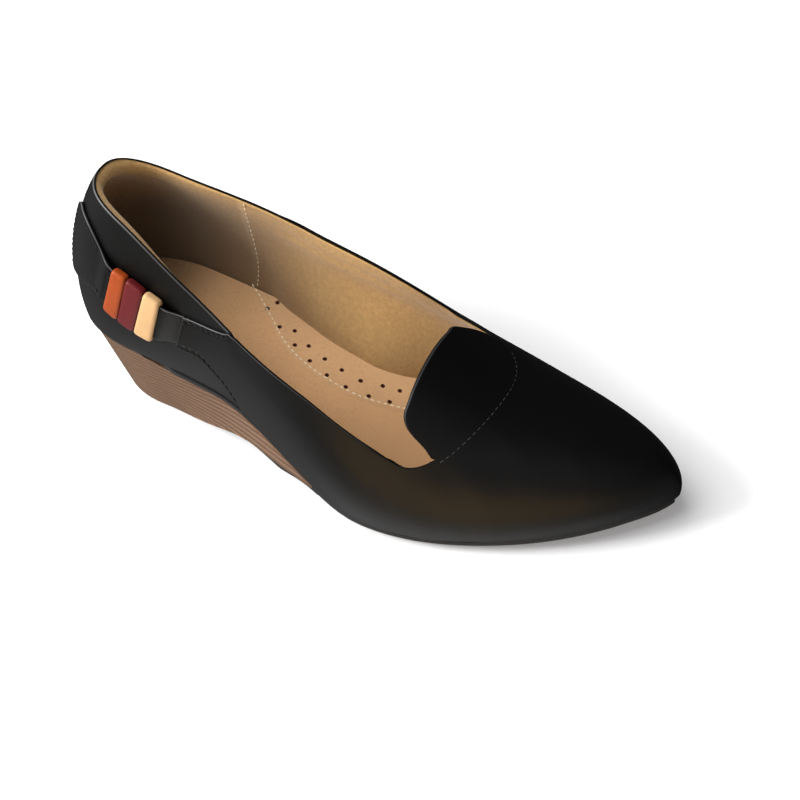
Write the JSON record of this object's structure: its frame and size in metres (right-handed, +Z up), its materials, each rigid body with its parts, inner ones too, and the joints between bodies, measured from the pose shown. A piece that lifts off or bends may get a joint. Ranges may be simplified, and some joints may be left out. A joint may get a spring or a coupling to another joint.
{
  "type": "pointed toe wedge pump",
  "caption": "Black leather slip-on pump with a pointed toe, low stacked wedge heel, throat tab, and a side strap held by soft coloured loops.",
  "frame": {"origin": "middle of the shoe's box, on the floor that it stands on", "axes": "+X from heel to toe, +Y to the inner side of the foot, +Z up"},
  "size_m": [0.2468, 0.0878, 0.1015],
  "materials": {
    "upper_leather": "smooth satin",
    "vamp_leather": "smooth satin",
    "tab_leather": "smooth satin",
    "strap_leather": "smooth satin",
    "orange_loop": "soft satin",
    "burgundy_loop": "soft satin",
    "cream_loop": "soft satin",
    "insole_tan": "matte",
    "welt_black": "matte",
    "wedge_stack": "satin stacked layers",
    "outsole_rubber": "matte",
    "lift_rubber": "matte"
  },
  "bodies": {
    "root": {"upper": "upper_leather", "vamp": "vamp_leather", "throat_tab": "tab_leather", "side_strap": "strap_leather", "loop_orange": "orange_loop", "loop_burgundy": "burgundy_loop", "loop_cream": "cream_loop", "insole": "insole_tan", "welt": "welt_black", "wedge": "wedge_stack", "outsole": "outsole_rubber", "heel_lift": "lift_rubber"}
  },
  "joints": []
}
